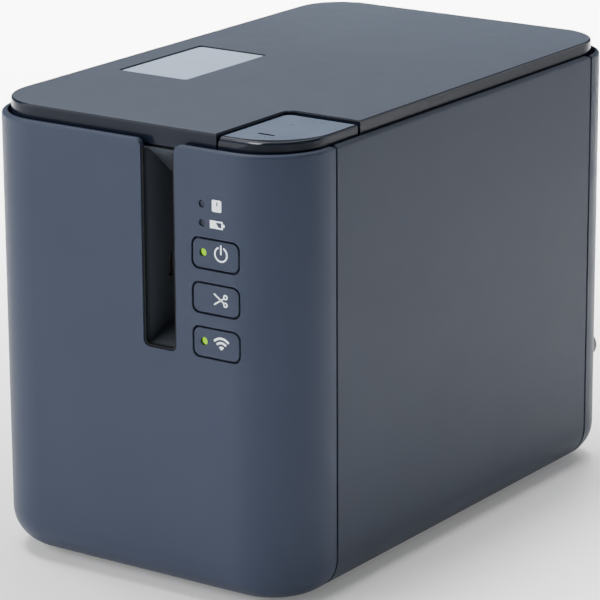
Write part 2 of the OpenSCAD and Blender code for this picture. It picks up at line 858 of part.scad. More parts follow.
module status_light_guides() {
    color([0.5, 0.52, 0.55, 0.8]) for (z = light_z)
        bar_y(light_r - 0.05, light_x, front_y + 0.5, panel_y - panel_h, z);
}

module usb_socket() {
    z0 = board_z + board_h;
    y0 = rear_y - wall - 15;
    y1 = rear_y - wall + 0.6;
    color([0.78, 0.79, 0.8]) difference() {
        box([usb_x - 6, y0, z0], [usb_x + 6, y1, z0 + 11]);
        difference() {
            front_cut(y1 - 9, 10)
                translate([usb_x, z0 + 5.5]) rounded_rect(8.6, 8, 1);
            box([usb_x - 2.8, y1 - 10, z0 + 3.9], [usb_x + 2.8, y1 - 1, z0 + 7.1]);
        }
    }
}

module serial_socket() {
    z0 = board_z + board_h;
    y0 = rear_y - wall - 14;
    y1 = rear_y - wall + 0.6;
    color([0.1, 0.1, 0.1]) difference() {
        box([serial_x - 6.7, y0, z0], [serial_x + 6.7, y1, z0 + 12]);
        front_cut(y1 - 11, 12) translate([serial_x, z0 + 6.2]) square([9.8, 6.8], center = true);
        front_cut(y1 - 11, 12) translate([serial_x, z0 + 2]) square([5, 3], center = true);
    }
}

module power_inlet() {
    color([0.08, 0.08, 0.08]) difference() {
        union() {
            bar_y(inlet_r, inlet_x, rear_y - 18, rear_y, inlet_z);
            box([inlet_x - 4, rear_y - 20, inlet_z - 4], [inlet_x + 4, rear_y - 17, inlet_z + 4]);
        }
        bar_y(inlet_bore_r, inlet_x, rear_y - inlet_bore_h, rear_y + 1, inlet_z);
    }
}

// ---------- Lid ----------

// The lid's outline as a block, shrunk by inset
module lid_block(inset, z0, z1, t) {
    rounded_block(lid_half_w - inset, lid_y0 + inset, lid_y1 - inset, lid_r_front - inset,
        lid_r_rear - inset, z0, z1, 0, t);
}

// Plan of the notch for the release button, grown by grow
module notch_outline(grow) {
    r = notch_r + grow;
    size = 60;
    difference() {
        translate([notch_x - grow, notch_y + grow - size]) square(size);
        translate([notch_x - grow + r, notch_y + grow - r]) mirror([1, 0]) corner_cut(r);
    }
}

// Bevel around the top of the notch
module notch_bevel() {
    c = notch_chamfer;
    translate([notch_x + notch_r, notch_y - notch_r, total_h - c])
        cylinder(r1 = notch_r, r2 = notch_r + 2 * c, h = 2 * c);
    translate([notch_x, -side_x * 3, total_h]) rotate([0, 45, 0])
        translate([-c * sqrt(0.5), 0, -c * sqrt(0.5)])
            cube([c * sqrt(2), notch_y - notch_r + side_x * 3, c * sqrt(2)]);
    translate([notch_x + notch_r, notch_y, total_h]) rotate([45, 0, 0])
        translate([0, -c * sqrt(0.5), -c * sqrt(0.5)])
            cube([60, c * sqrt(2), c * sqrt(2)]);
}

module window_hole(grow) {
    translate([window_x0 + window_w / 2, window_y0 + window_d / 2])
        rounded_rect(window_w + 2 * grow, window_d + 2 * grow, window_r + grow);
}

// The whole lid before it is parted into its frame and the skin on top
module lid_body() {
    under = total_h - lid_plate;
    pocket_w = hinge_knuckle_w + 2 * hinge_ear_gap;
    pocket_d = 2 * hinge_knuckle_r + 1;
    pocket_h = hinge_z + hinge_knuckle_r + 0.3 - under;
    difference() {
        lid_block(0, lid_z, total_h, lid_round);
        difference() {
            lid_block(lid_skirt, lid_z - 1, under, 0);
            translate([0, 0, lid_z - 2]) linear_extrude(lid_h) notch_outline(lid_skirt);
        }
        translate([0, 0, lid_z - 1]) linear_extrude(lid_h + 2) notch_outline(0);
        notch_bevel();
        translate([0, 0, under - 1]) linear_extrude(lid_plate + 2) window_hole(0);
        translate([0, 0, under - 1]) linear_extrude(1.8) window_hole(1.2);
        // Pockets over the hinge knuckles
        for (side = [-1, 1])
            translate([side * hinge_x - pocket_w / 2, hinge_y - pocket_d / 2, under - 1])
                cube([pocket_w, pocket_d, pocket_h + 1]);
    }
}

// Room of the skin on top of the lid, inside the frame's narrow rim
module lid_skin_room() {
    difference() {
        lid_block(lid_skin_edge, total_h - lid_skin, total_h + 1, 0);
        translate([0, 0, lid_z]) linear_extrude(lid_h + 2) notch_outline(lid_skin_edge);
    }
}

module lid_frame() {
    color([0.13, 0.14, 0.15]) difference() {
        lid_body();
        lid_skin_room();
    }
}

module lid_cover() {
    color([0.44, 0.47, 0.52]) intersection() {
        lid_body();
        lid_skin_room();
    }
}

module lid_window() {
    under = total_h - lid_plate;
    color([0.72, 0.76, 0.82, 0.6]) union() {
        translate([0, 0, under]) linear_extrude(lid_plate - window_drop) window_hole(-0.15);
        translate([0, 0, under]) linear_extrude(0.7) window_hole(1);
    }
}

module lid_liner() {
    edge = lid_skirt + 0.3;
    rib_h = 1.6;
    color([0.2, 0.21, 0.23]) difference() {
        union() {
            intersection() {
                lid_block(edge, liner_z, liner_z + liner_h, 0);
                box([-side_x, front_y, 0], [side_x, 76, total_h]);
            }
            for (i = [0:4])
                box([-46, -72 + i * 30, liner_z - rib_h], [27, -71 + i * 30, liner_z]);
            for (x = [-47, 26])
                box([x, -84, liner_z - rib_h], [x + 1, 64, liner_z]);
        }
        translate([0, 0, liner_z - 3]) linear_extrude(lid_h + 3) notch_outline(edge);
        translate([0, 0, liner_z - 3]) linear_extrude(lid_h + 3) window_hole(2);
        for (side = [-1, 1])
            box([side * hinge_x - 10, 60, liner_z - 1], [side * hinge_x + 10, 77, total_h]);
    }
}

module lid_hinge_pins() {
    reach = hinge_knuckle_w / 2 + hinge_ear_gap;
    under = total_h - lid_plate;
    color([0.35, 0.37, 0.4]) for (side = [-1, 1]) {
        bar_x(hinge_pin_r, side * hinge_x - reach, side * hinge_x + reach, hinge_y, hinge_z);
        for (end = [-1, 1]) {
            x0 = side * hinge_x + end * (reach + hinge_ear_w / 2) - hinge_ear_w / 2;
            intersection() {
                union() {
                    bar_x(hinge_knuckle_r, x0, x0 + hinge_ear_w, hinge_y, hinge_z);
                    box([x0, hinge_y - 2.4, hinge_z], [x0 + hinge_ear_w, hinge_y + 2.4, total_h]);
                }
                box([-side_x, 0, 0], [side_x, rear_y, under]);
            }
        }
    }
}

module lid_catch() {
    y0 = -53.5;
    color([0.2, 0.21, 0.23]) side_cut(release_x - catch_w / 2, catch_w)
        polygon([[y0, liner_z], [y0, 128.6], [y0 - 2.4, 128.6], [y0, 126.4],
            [y0 + 1.8, 126.4], [y0 + 1.8, liner_z]]);
}

module press_pads() {
    color([0.45, 0.46, 0.48]) for (p = [[-38, -46.6], [4, -46.6], [-36, 30], [18, 30]])
        bar_z(4, p[0], p[1], liner_z - 4.5, liner_z);
}

// ---------- Lid release ----------

// Plan of the release button: the lid's corner behind a gap, shrunk by inset
module release_plan(inset) {
    r = 2.4;
    x0 = notch_x + release_gap + inset;
    y1 = notch_y - release_back_gap - inset;
    difference() {
        translate([x0, y1 - 60]) square(60);
        translate([x0 + r, y1 - r]) mirror([1, 0]) corner_cut(r);
    }
}

// Place of the light-coloured pad on the button
pad_x0 = notch_x + release_gap + 0.2;
pad_x1 = lid_half_w - 0.6;
pad_y0 = -89.5;
pad_y1 = notch_y - release_back_gap - 0.6;
pad_r = 20;
pad_z = 143.8;

module pad_plan() {
    back_r = 2.4;
    difference() {
        translate([pad_x0, pad_y0]) square([pad_x1 - pad_x0, pad_y1 - pad_y0]);
        translate([pad_x1 - pad_r, pad_y0 + pad_r]) mirror([0, 1]) corner_cut(pad_r);
        translate([pad_x0 + back_r, pad_y1 - back_r]) mirror([1, 0]) corner_cut(back_r);
    }
}

// Plan of the shelf that the pad lies on, open to the left and the back
module shelf_plan() {
    play = 0.08;
    reach = 8;
    difference() {
        translate([pad_x0 - reach, pad_y0 - play])
            square([pad_x1 + play - pad_x0 + reach, pad_y1 + reach - pad_y0 + play]);
        translate([pad_x1 - pad_r, pad_y0 + pad_r]) mirror([0, 1]) corner_cut(pad_r + play);
    }
}

module release_button() {
    hollow_z = 142.2;
    color([0.13, 0.14, 0.15]) difference() {
        union() {
            difference() {
                intersection() {
                    lid_block(0, release_bottom, release_top, 0.8);
                    // Broad shoulder along the front
                    rounded_block(lid_half_w + 3, lid_y0, lid_y1, lid_r_front, lid_r_rear,
                        release_bottom - 1, release_top, 0, release_shoulder);
                    linear_extrude(total_h) release_plan(0);
                }
                translate([0, 0, pad_z]) linear_extrude(lid_h) shelf_plan();
                bar_z(release_cup_r - 0.8, release_x, release_y, release_bottom - 1, hollow_z);
            }
            bar_z(release_stem_r, release_x, release_y, release_stem_z, hollow_z + 0.2);
        }
        // Groove of the small mark on the pad's seat
        bar_z(1, release_x, release_y, pad_z - 0.6, pad_z + 1);
    }
}

module release_button_pad() {
    color([0.51, 0.54, 0.59]) difference() {
        union() {
            translate([0, 0, pad_z]) linear_extrude(release_pad_top - pad_z) pad_plan();
            bar_z(0.9, release_x, release_y, pad_z - 0.5, pad_z + 0.2);
        }
        // Slot-shaped mark, through which the dark button shows
        box([38.3, -82.15, pad_z - 1], [44, -80.85, release_pad_top + 1]);
    }
}

module release_spring() {
    low = release_cup_z + 1.2;
    color("silver") difference() {
        bar_z(spring_r, release_x, release_y, low, 142.2);
        bar_z(spring_r - spring_wire, release_x, release_y, low - 1, 143);
    }
}

module latch_lever() {
    arm_h = 3;
    color([0.18, 0.18, 0.19]) difference() {
        union() {
            bar_x(latch_hub_r, release_x - latch_w / 2, release_x + latch_w / 2, latch_y, latch_z);
            box([release_x - 3, -78.5, latch_z - arm_h / 2], [release_x + 3, latch_y, latch_z + arm_h / 2]);
            side_cut(release_x - latch_w / 2 + 1, latch_w - 2)
                polygon([[latch_y - 1, latch_z], [latch_y + 1.7, 131], [-55.6, 131],
                    [-54.6, 128.9], [-58.1, 128.9], [latch_y + 2.6, latch_z]]);
        }
        bar_x(latch_pin_r + 0.05, release_x - 9, release_x + 9, latch_y, latch_z);
    }
}

module latch_pin() {
    color("silver") bar_x(latch_pin_r, release_x - 5.8, release_x + 5.8, latch_y, latch_z);
}

// ---------- Front buttons ----------

module front_button(z, lens) {
    sink = 0.12;
    flange = 1.4;
    back_y = front_y + 4.1;
    stem_y = panel_y - panel_h - 3.9 - button_travel - 0.1;
    color([0.34, 0.37, 0.43]) difference() {
        union() {
            intersection() {
                linear_extrude(total_h) plan_outline(sink);
                front_cut(front_y - 1, back_y + 1 - front_y) translate([button_x, z])
                    rounded_rect(button_w - 2 * button_gap, button_h - 2 * button_gap, 2.1);
            }
            intersection() {
                linear_extrude(total_h) plan_outline(wall + 0.15);
                front_cut(front_y, back_y - front_y) translate([button_x, z])
                    rounded_rect(button_w + 2 * flange, button_h + 2 * flange, 1);
            }
            bar_y(1.8, button_x, back_y - 0.5, stem_y, z);
        }
        if (lens) bar_y(lens_r, lens_x, front_y - 1, back_y + 1, z + lens_rise);
    }
}

module button_lens(z) {
    color([0.7, 0.9, 0.1]) bar_y(lens_r, lens_x, front_y + lens_drop, front_y + 4.6, z + lens_rise);
}

module power_button() {
    front_button(button_z + button_pitch, true);
}

module cutter_button() {
    front_button(button_z, false);
}

module wireless_button() {
    front_button(button_z - button_pitch, true);
}

module power_light_lens() {
    button_lens(button_z + button_pitch);
}

module wireless_light_lens() {
    button_lens(button_z - button_pitch);
}

// ---------- Tape cassette ----------

module cassette_plan(inset) {
    x0 = cassette_x0 + inset;
    y1 = cassette_y0 + cassette_d - inset;
    arm_w = 14;
    arm_l = 18;
    difference() {
        translate([x0, cassette_y0 + inset])
            square([cassette_w - 2 * inset, y1 - cassette_y0 - inset]);
        translate([cassette_step_x - inset, cassette_y0])
            square([cassette_w, cassette_step_y + inset - cassette_y0]);
        translate([x0 + 4, y1 - 4]) mirror([1, 0]) corner_cut(4);
        translate([x0 + cassette_w - 2 * inset - 4, y1 - 4]) corner_cut(4);
        translate([x0 + 4, cassette_y0 + inset + 4]) mirror([1, 1]) corner_cut(4);
    }
    translate([inset - arm_w, cassette_y0 - arm_l + inset]) square([arm_w - 2 * inset, arm_l + 4]);
}

module cassette_case() {
    case_top = cassette_z + cassette_h - cassette_cover_h;
    color([0.12, 0.12, 0.13]) difference() {
        translate([0, 0, cassette_z]) linear_extrude(cassette_h - cassette_cover_h)
            cassette_plan(0);
        translate([0, 0, cassette_z + cassette_wall]) linear_extrude(cassette_h)
            cassette_plan(cassette_wall);
        bar_z(5, takeup_x, takeup_y, cassette_z - 1, cassette_z + 3);
        // Mouth that the tape leaves by
        box([slot_x - 1.4, cassette_y0 - 1, cassette_z + 4], [slot_x + 1.4, cassette_y0 + 3, case_top - 1]);
    }
}

module cassette_cover() {
    z0 = cassette_z + cassette_h - cassette_cover_h;
    color([0.85, 0.86, 0.87]) translate([0, 0, z0]) linear_extrude(cassette_cover_h)
        cassette_plan(0);
}

module tape_roll() {
    z0 = cassette_z + 4.6;
    color([0.93, 0.93, 0.92]) difference() {
        bar_z(tape_roll_r, tape_roll_x, tape_roll_y, z0, z0 + tape_w);
        bar_z(7, tape_roll_x, tape_roll_y, z0 - 1, z0 + tape_w + 1);
    }
}

module ribbon_roll() {
    z0 = cassette_z + 4.6;
    color([0.1, 0.1, 0.12]) difference() {
        bar_z(9, takeup_x, takeup_y, z0, z0 + tape_w);
        bar_z(3.6, takeup_x, takeup_y, z0 - 1, z0 + tape_w + 1);
    }
}

// ---------- Rollers and gears ----------

module holder_plate() {
    reach = norm([platen_x - holder_x, platen_y - holder_y]);
    turn = atan2(platen_y - holder_y, platen_x - holder_x);
    translate([holder_x, holder_y]) circle(r = 3.2);
    translate([platen_x, platen_y]) circle(r = 4.5);
    translate([holder_x, holder_y]) rotate(turn) translate([0, -3]) square([reach, 6]);
}

module roller_holder() {
    low_z = tub_floor_z + tub_floor_h + 1;
    color([0.16, 0.16, 0.17]) difference() {
        union() {
            translate([0, 0, low_z]) linear_extrude(2.4) holder_plate();
            translate([0, 0, 129]) linear_extrude(2.4) holder_plate();
            bar_z(3.2, holder_x, holder_y, low_z, 131.4);
        }
        bar_z(holder_pin_r + 0.05, holder_x, holder_y, low_z - 1, 133);
        bar_z(2.05, platen_x, platen_y, low_z - 1, 133);
    }
}

module platen_roller() {
    color([0.08, 0.08, 0.08]) difference() {
        bar_z(platen_r, platen_x, platen_y, 89.2, 128.4);
        bar_z(2, platen_x, platen_y, 88, 130);
    }
}

module platen_shaft() {
    color("silver") bar_z(2, platen_x, platen_y, gear_z - 0.6, 132);
}

module spur_gear(n, phase, bore) {
    translate([0, 0, gear_z]) difference() {
        linear_extrude(gear_face) polygon(gear_outline(n, gear_module, phase));
        translate([0, 0, -1]) cylinder(r = bore, h = gear_face + 2);
    }
}

module platen_gear() {
    phase = mesh_phase(0, idler_teeth, platen_teeth, idler_dir + 180);
    color([0.93, 0.92, 0.88]) translate([platen_x, platen_y, 0])
        spur_gear(platen_teeth, phase, 2);
}

module idler_gear() {
    web_h = 1.5;
    color([0.93, 0.92, 0.88]) translate([idler_x, idler_y, 0]) difference() {
        spur_gear(idler_teeth, 0, 2.05);
        translate([0, 0, gear_z + gear_face - web_h]) difference() {
            cylinder(r = 16, h = web_h + 1);
            translate([0, 0, -1]) cylinder(r = 4.5, h = web_h + 3);
        }
    }
}

module motor_pinion() {
    phase = mesh_phase(0, idler_teeth, pinion_teeth, pinion_dir);
    color([0.8, 0.7, 0.4]) translate([pinion_x, pinion_y, 0]) {
        spur_gear(pinion_teeth, phase, 1.5);
        bar_z(1.5, 0, 0, plate_z - 7, gear_z + gear_face + 0.5);
    }
}

module takeup_spindle() {
    phase = mesh_phase(0, idler_teeth, takeup_teeth, takeup_dir);
    top = gear_z + gear_face;
    color([0.93, 0.92, 0.88]) translate([takeup_x, takeup_y, 0]) difference() {
        union() {
            spur_gear(takeup_teeth, phase, 2.05);
            bar_z(3.2, 0, 0, top - 1, 118);
            for (a = [0, 120, 240]) rotate(a) translate([-0.6, 0, 92]) cube([1.2, 3.5, 24]);
        }
        bar_z(2.05, 0, 0, gear_z - 1, top + 1.6);
    }
}

front_cover();
left_side_panel();
right_side_panel();
rear_cover();
base_cover();
inner_frame();
top_deck();
cassette_tub();
exit_chute();
hinge_brackets();
head_bracket();
print_head();
mechanism_plate();
fixed_shafts();
feed_motor();
cutter_frame();
fixed_blade();
cutter_motor();
main_board();
board_components();
panel_board();
button_switches();
status_light_guides();
usb_socket();
serial_socket();
power_inlet();
rubber_feet();
housing_screws();
board_screws();
battery_contact_cover();
lid_cover();
lid_frame();
lid_liner();
lid_window();
lid_hinge_pins();
lid_catch();
press_pads();
release_button();
release_button_pad();
release_spring();
latch_lever();
latch_pin();
power_button();
cutter_button();
wireless_button();
power_light_lens();
wireless_light_lens();
cassette_case();
cassette_cover();
tape_roll();
ribbon_roll();
roller_holder();
platen_roller();
platen_shaft();
platen_gear();
idler_gear();
motor_pinion();
takeup_spindle();
moving_blade();
cutter_pinion();
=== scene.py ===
"""Desktop label maker: finishes, printed symbols, small fittings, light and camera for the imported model."""

import json
import math

import bmesh
import bpy
from mathutils import Matrix, Vector
from mathutils.geometry import tessellate_polygon


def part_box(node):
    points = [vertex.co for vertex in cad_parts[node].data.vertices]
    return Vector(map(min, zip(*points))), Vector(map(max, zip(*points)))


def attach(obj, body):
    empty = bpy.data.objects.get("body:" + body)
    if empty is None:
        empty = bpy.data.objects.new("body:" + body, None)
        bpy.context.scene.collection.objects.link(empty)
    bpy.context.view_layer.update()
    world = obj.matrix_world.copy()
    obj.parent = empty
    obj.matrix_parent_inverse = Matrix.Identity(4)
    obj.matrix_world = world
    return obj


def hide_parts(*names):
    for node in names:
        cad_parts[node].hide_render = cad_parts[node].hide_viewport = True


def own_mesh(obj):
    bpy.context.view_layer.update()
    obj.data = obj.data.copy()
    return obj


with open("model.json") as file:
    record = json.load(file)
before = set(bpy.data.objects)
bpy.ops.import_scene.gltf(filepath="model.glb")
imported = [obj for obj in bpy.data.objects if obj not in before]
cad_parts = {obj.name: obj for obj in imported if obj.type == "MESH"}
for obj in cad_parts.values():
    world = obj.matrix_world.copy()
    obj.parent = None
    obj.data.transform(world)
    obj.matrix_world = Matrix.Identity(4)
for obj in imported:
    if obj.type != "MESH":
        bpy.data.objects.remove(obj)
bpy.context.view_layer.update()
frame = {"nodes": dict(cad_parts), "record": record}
nodes = frame["nodes"]
MM = 0.001

# Radius of the softened edges that the shaders draw, in millimetres
EDGE = 0.22
# Noise cells per metre: slow mottling, patches of wear and dust, and uneven sheen
MOTTLE_CELLS, PATCH_CELLS, SHEEN_CELLS = 28.0, 160.0, 90.0
# Depth of the grain that the shaders draw, in millimetres
GRAIN_DEPTH = 0.05
DUST = (0.5, 0.49, 0.47, 1.0)
# Colour of the painted shade at a slot's mouth
MOUTH_SHADE = (0.001, 0.001, 0.0015, 1.0)


# ---------- Shader building ----------


def node(tree, kind, **settings):
    made = tree.nodes.new(kind)
    for key, value in settings.items():
        setattr(made, key, value)
    return made


def noise(tree, vector, per_metre, detail=3.0, roughness=0.55):
    made = node(tree, "ShaderNodeTexNoise")
    made.inputs["Scale"].default_value = per_metre
    made.inputs["Detail"].default_value = detail
    made.inputs["Roughness"].default_value = roughness
    tree.links.new(vector, made.inputs["Vector"])
    return made.outputs["Fac"]


def remap(tree, value, low, high, from_low=0.0, from_high=1.0):
    made = node(tree, "ShaderNodeMapRange")
    made.inputs["From Min"].default_value = from_low
    made.inputs["From Max"].default_value = from_high
    made.inputs["To Min"].default_value = low
    made.inputs["To Max"].default_value = high
    tree.links.new(value, made.inputs["Value"])
    return made.outputs["Result"]


def mix_colour(tree, fac, a, b):
    made = node(tree, "ShaderNodeMix", data_type="RGBA")
    tree.links.new(fac, made.inputs["Factor"])
    # This node's colour sockets are inputs 6 and 7 and output 2
    for socket, value in ((made.inputs[6], a), (made.inputs[7], b)):
        if isinstance(value, tuple):
            socket.default_value = value
        else:
            tree.links.new(value, socket)
    return made.outputs[2]


def math_node(tree, operation, a, b):
    made = node(tree, "ShaderNodeMath", operation=operation)
    for socket, value in zip(made.inputs, (a, b)):
        if isinstance(value, (int, float)):
            socket.default_value = value
        else:
            tree.links.new(value, socket)
    return made.outputs[0]


def scaled(colour, k):
    return tuple(min(1.0, c * k) for c in colour[:3]) + (1.0,)


def surface(
    name,
    colour,
    rough,
    grain=0.0,
    grain_mm=0.35,
    mottle=0.05,
    rough_spread=0.06,
    wear=0.15,
    edge=EDGE,
    metallic=0.0,
    specular=0.5,
    transmission=0.0,
    glow=0.0,
    stretch=None,
    dust=0.0,
    shade=1.0,
    mouth=None,
):
    """A plastic, metal or rubber finish.

    The base colour has slow mottling, a fine grain, an uneven sheen, softened and slightly worn edges, and a
    little dust on what faces up. A mouth (front Y in millimetres, depth) gets painted shade: the colour
    darkens towards that front edge, standing in for the shade at a slot's edge.
    """
    material = bpy.data.materials.new(name)
    material.use_nodes = True
    tree = material.node_tree
    shader = tree.nodes["Principled BSDF"]
    place = node(tree, "ShaderNodeTexCoord").outputs["Object"]
    if stretch:
        mapping = node(tree, "ShaderNodeMapping")
        mapping.inputs["Scale"].default_value = stretch
        tree.links.new(place, mapping.inputs["Vector"])
        grain_place = mapping.outputs["Vector"]
    else:
        grain_place = place

    softened = node(tree, "ShaderNodeBevel", samples=4)
    softened.inputs["Radius"].default_value = edge * MM
    flat = node(tree, "ShaderNodeNewGeometry").outputs["Normal"]
    facing = node(tree, "ShaderNodeVectorMath", operation="DOT_PRODUCT")
    tree.links.new(softened.outputs["Normal"], facing.inputs[0])
    tree.links.new(flat, facing.inputs[1])
    on_edge = remap(tree, facing.outputs["Value"], 0.0, 1.0, 0.99, 0.75)

    slow = noise(tree, place, MOTTLE_CELLS, 2.0)
    patchy = noise(tree, place, PATCH_CELLS, 4.0, 0.65)
    base = mix_colour(
        tree,
        remap(tree, slow, 0.0, 1.0, 0.3, 0.7),
        scaled(colour, shade * (1 - mottle)),
        scaled(colour, shade * (1 + mottle)),
    )
    rubbed = math_node(tree, "MULTIPLY", on_edge, remap(tree, patchy, wear * 0.4, wear * 2, 0.35, 0.65))
    base = mix_colour(tree, rubbed, base, scaled([1.5 * c + 0.03 for c in colour[:3]], 1.0))
    if dust:
        up = node(tree, "ShaderNodeSeparateXYZ")
        tree.links.new(flat, up.inputs[0])
        lies = math_node(tree, "MULTIPLY", remap(tree, up.outputs["Z"], 0.0, dust, 0.6, 1.0), patchy)
        base = mix_colour(tree, lies, base, DUST)
    # Painted shade: the colour darkens towards the slot's front edge
    if mouth:
        front, depth = mouth
        split = node(tree, "ShaderNodeSeparateXYZ")
        tree.links.new(place, split.inputs[0])
        near = remap(tree, split.outputs["Y"], 0.85, 0.0, front * MM, (front + depth) * MM)
        base = mix_colour(tree, near, base, MOUTH_SHADE)
    tree.links.new(base, shader.inputs["Base Color"])

    uneven = noise(tree, place, SHEEN_CELLS, 3.0)
    sheen = remap(tree, uneven, rough - rough_spread, rough + rough_spread, 0.3, 0.7)
    sheen = math_node(tree, "ADD", sheen, math_node(tree, "MULTIPLY", on_edge, -0.12 * rough))
    tree.links.new(sheen, shader.inputs["Roughness"])

    if grain:
        bump = node(tree, "ShaderNodeBump")
        bump.inputs["Strength"].default_value = grain
        bump.inputs["Distance"].default_value = GRAIN_DEPTH * MM
        tree.links.new(noise(tree, grain_place, 1 / (grain_mm * MM), 2.0, 0.5), bump.inputs["Height"])
        tree.links.new(softened.outputs["Normal"], bump.inputs["Normal"])
        tree.links.new(bump.outputs["Normal"], shader.inputs["Normal"])
    else:
        tree.links.new(softened.outputs["Normal"], shader.inputs["Normal"])
    shader.inputs["Metallic"].default_value = metallic
    shader.inputs["Specular IOR Level"].default_value = specular
    shader.inputs["Transmission Weight"].default_value = transmission
    if glow:
        shader.inputs["Emission Color"].default_value = scaled(colour, 1.0)
        shader.inputs["Emission Strength"].default_value = glow
    return material


SLATE = (0.031, 0.039, 0.062)
# Slate darkened for the side panels: painted shade of the faces turned away from the key light
SHADED_SIDE_SLATE = (0.0265, 0.033, 0.049)
# Slate lightened for the lid's top plate: painted light and sheen on the face turned up
LIT_LID_SLATE = (0.045, 0.057, 0.079)
PAD = (0.092, 0.118, 0.172)
BLACK = (0.014, 0.0165, 0.021)
GLOSS = (0.0075, 0.0105, 0.019)
# Grain and sheen that all pieces of the shell share
SHELL = {"rough": 0.42, "grain": 0.45, "mottle": 0.025, "rough_spread": 0.02, "dust": 0.006, "edge": 0.35}

finishes = {
    "slate_plastic": surface("slate_plastic", SLATE, specular=0.09, **SHELL),
    "side_plastic": surface("side_plastic", SHADED_SIDE_SLATE, specular=0.08, **SHELL),
    "lid_plastic": surface(
        "lid_plastic",
        LIT_LID_SLATE,
        0.4,
        grain=0.7,
        grain_mm=0.45,
        mottle=0.025,
        rough_spread=0.025,
        wear=0.05,
        dust=0.01,
        specular=0.25,
        edge=0.14,
    ),
    "pad_plastic": surface("pad_plastic", PAD, 0.3, grain=0.15, mottle=0.03, dust=0.01, specular=0.4),
    "black_plastic": surface("black_plastic", BLACK, 0.45, grain=0.3, dust=0.008, specular=0.18),
    "dark_gloss_plastic": surface(
        "dark_gloss_plastic",
        GLOSS,
        0.16,
        grain=0.05,
        wear=0.06,
        rough_spread=0.03,
        specular=0.13,
        edge=0.14,
    ),
    "window_plastic": surface(
        "window_plastic",
        (0.44, 0.53, 0.69),
        0.15,
        grain=0.03,
        grain_mm=2,
        transmission=0.1,
        rough_spread=0.03,
    ),
    "light_plastic": surface(
        "light_plastic",
        (0.38, 0.84, 0.0),
        0.5,
        grain=0.05,
        glow=1.2,
        mottle=0.08,
        shade=0.05,
        specular=0.02,
    ),
    "clear_plastic": surface(
        "clear_plastic", (0.02, 0.026, 0.042), 0.25, grain=0.04, specular=0.15, edge=0.1
    ),
    "gear_plastic": surface("gear_plastic", (0.78, 0.76, 0.7), 0.42, grain=0.12, edge=0.08),
    "cassette_plastic": surface("cassette_plastic", (0.02, 0.02, 0.023), 0.4, grain=0.3, dust=0.01),
    "cassette_lid_plastic": surface("cassette_lid_plastic", (0.45, 0.47, 0.5), 0.3, grain=0.1),
    "tape": surface("tape", (0.82, 0.82, 0.8), 0.4, grain=0.3, grain_mm=0.15, stretch=(0.02, 0.02, 1)),
    "ribbon": surface("ribbon", (0.015, 0.015, 0.02), 0.25, grain=0.2, stretch=(0.02, 0.02, 1)),
    "rubber": surface("rubber", (0.018, 0.018, 0.018), 0.75, grain=0.5, grain_mm=0.5, dust=0.02),
    "steel": surface(
        "steel", (0.58, 0.58, 0.6), 0.26, grain=0.25, metallic=1.0, edge=0.1, stretch=(1, 1, 0.05)
    ),
    "zinc": surface("zinc", (0.6, 0.61, 0.63), 0.36, grain=0.2, grain_mm=1.5, metallic=1.0, mottle=0.1),
    "ceramic": surface("ceramic", (0.8, 0.77, 0.68), 0.2, grain=0.05, edge=0.1),
    "brass": surface("brass", (0.7, 0.52, 0.24), 0.28, grain=0.15, metallic=1.0, edge=0.08),
    "board": surface("board", (0.008, 0.09, 0.04), 0.3, grain=0.25, grain_mm=1.2, mottle=0.12, edge=0.1),
    "chip_plastic": surface("chip_plastic", (0.014, 0.014, 0.016), 0.48, grain=0.3),
}
# The slot's chute: black plastic lightened as painted light for the slot's dim interior, with painted shade
# at its mouth
chute_light_and_shade_finish = surface(
    "chute_plastic_painted_light_and_shade",
    (0.05, 0.057, 0.068),
    0.55,
    grain=0.3,
    wear=0.03,
    specular=0.08,
    edge=0.1,
    mouth=(-95.2, 2.0),
)
ink = surface("white_ink", (0.86, 0.94, 1.0), 0.5, grain=0.2, mottle=0.02, edge=0.02)
gold = surface("gold_contact", (0.85, 0.6, 0.22), 0.25, grain=0.1, metallic=1.0, edge=0.05)



def dress(node_name, finish):
    mesh = nodes[node_name].data
    mesh.materials.clear()
    mesh.materials.append(finish)


for part in frame["record"]["subparts"]:
    dress(part["node"], finishes[part["material_slot"]])
dress("exit_chute", chute_light_and_shade_finish)


# ---------- Mesh building ----------


def add_mesh(name, points, faces, material, smooth=False):
    """A new object from points in millimetres."""
    mesh = bpy.data.meshes.new(name)
    mesh.from_pydata([tuple(Vector(p) * MM) for p in points], [], faces)
    bm = bmesh.new()
    bm.from_mesh(mesh)
    bmesh.ops.recalc_face_normals(bm, faces=bm.faces)
    bm.to_mesh(mesh)
    bm.free()
    mesh.materials.append(material)
    made = bpy.data.objects.new(name, mesh)
    bpy.context.scene.collection.objects.link(made)
    if smooth:
        mesh.polygons.foreach_set("use_smooth", [True] * len(mesh.polygons))
    return made


def arc(cx, cz, r, start, end, steps=40):
    """Points on a circle in the front view, angles in degrees from +X towards +Z."""
    return [
        (cx + r * math.cos(math.radians(a)), cz + r * math.sin(math.radians(a)))
        for a in (start + (end - start) * i / steps for i in range(steps + 1))
    ]


def band(cx, cz, r_in, r_out, start, end):
    """The shape between two radii and two angles."""
    return [arc(cx, cz, r_out, start, end) + arc(cx, cz, r_in, end, start)]


def ring(cx, cz, r_in, r_out):
    """The shape between two full circles."""
    return [arc(cx, cz, r_out, 0, 360)[:-1], arc(cx, cz, r_in, 360, 0)[:-1]]


def stroke(x0, z0, x1, z1, width):
    """A straight line with round ends."""
    turn = math.degrees(math.atan2(z1 - z0, x1 - x0))
    far_end = arc(x1, z1, width / 2, turn - 90, turn + 90, 8)
    near_end = arc(x0, z0, width / 2, turn + 90, turn + 270, 8)
    return [far_end + near_end]


def rounded_box(x0, z0, x1, z1, r):
    """An outline with four round corners."""
    return (
        arc(x1 - r, z1 - r, r, 0, 90, 6)
        + arc(x0 + r, z1 - r, r, 90, 180, 6)
        + arc(x0 + r, z0 + r, r, 180, 270, 6)
        + arc(x1 - r, z0 + r, r, 270, 360, 6)
    )


